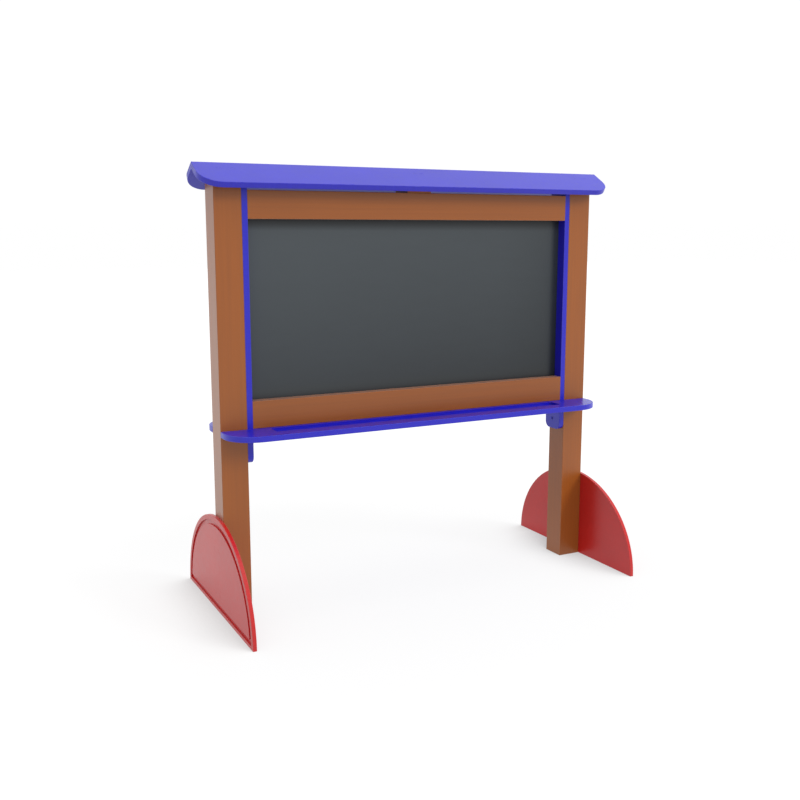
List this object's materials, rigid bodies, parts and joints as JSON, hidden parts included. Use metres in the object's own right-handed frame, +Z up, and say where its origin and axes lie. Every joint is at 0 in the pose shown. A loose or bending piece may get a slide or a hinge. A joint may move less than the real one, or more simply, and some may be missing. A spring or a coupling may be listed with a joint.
{
  "type": "chalkboard",
  "caption": "Free-standing two-sided outdoor chalkboard with a pitched roof, a grooved chalk tray on each side and half-oval feet on square posts",
  "frame": {"origin": "on the ground, midway between the posts and midway through the board's thickness", "axes": "+X to the right along the board as seen from the front, +Y from front to back, +Z up"},
  "size_m": [1.526, 0.71, 1.4475],
  "materials": {
    "brown_lumber": "satin recycled plastic lumber",
    "blue_sheet": "semi-gloss plastic sheet",
    "red_sheet": "semi-gloss plastic sheet",
    "slate_grey_panel": "matt writing surface",
    "coated_screw": "blue coating on stainless",
    "screw_steel": "stainless"
  },
  "bodies": {
    "root": {"left_post": "brown_lumber", "right_post": "brown_lumber", "front_top_rail": "brown_lumber", "rear_top_rail": "brown_lumber", "front_bottom_rail": "brown_lumber", "rear_bottom_rail": "brown_lumber", "centre_roof_block": "brown_lumber", "chalkboard_panel": "slate_grey_panel", "left_side_plate": "blue_sheet", "right_side_plate": "blue_sheet", "chalk_tray": "blue_sheet", "front_roof_board": "blue_sheet", "rear_roof_board": "blue_sheet", "front_roof_plugs": "blue_sheet", "rear_roof_plugs": "blue_sheet", "left_foot": "red_sheet", "right_foot": "red_sheet", "left_foot_plugs": "red_sheet", "right_foot_plugs": "red_sheet", "left_plate_screws": "coated_screw", "right_plate_screws": "coated_screw", "left_rail_screws": "screw_steel", "right_rail_screws": "screw_steel", "left_foot_screws": "screw_steel", "right_foot_screws": "screw_steel", "front_roof_screws": "screw_steel", "rear_roof_screws": "screw_steel", "front_tray_screws": "coated_screw", "rear_tray_screws": "coated_screw", "block_screws": "screw_steel"}
  },
  "joints": []
}
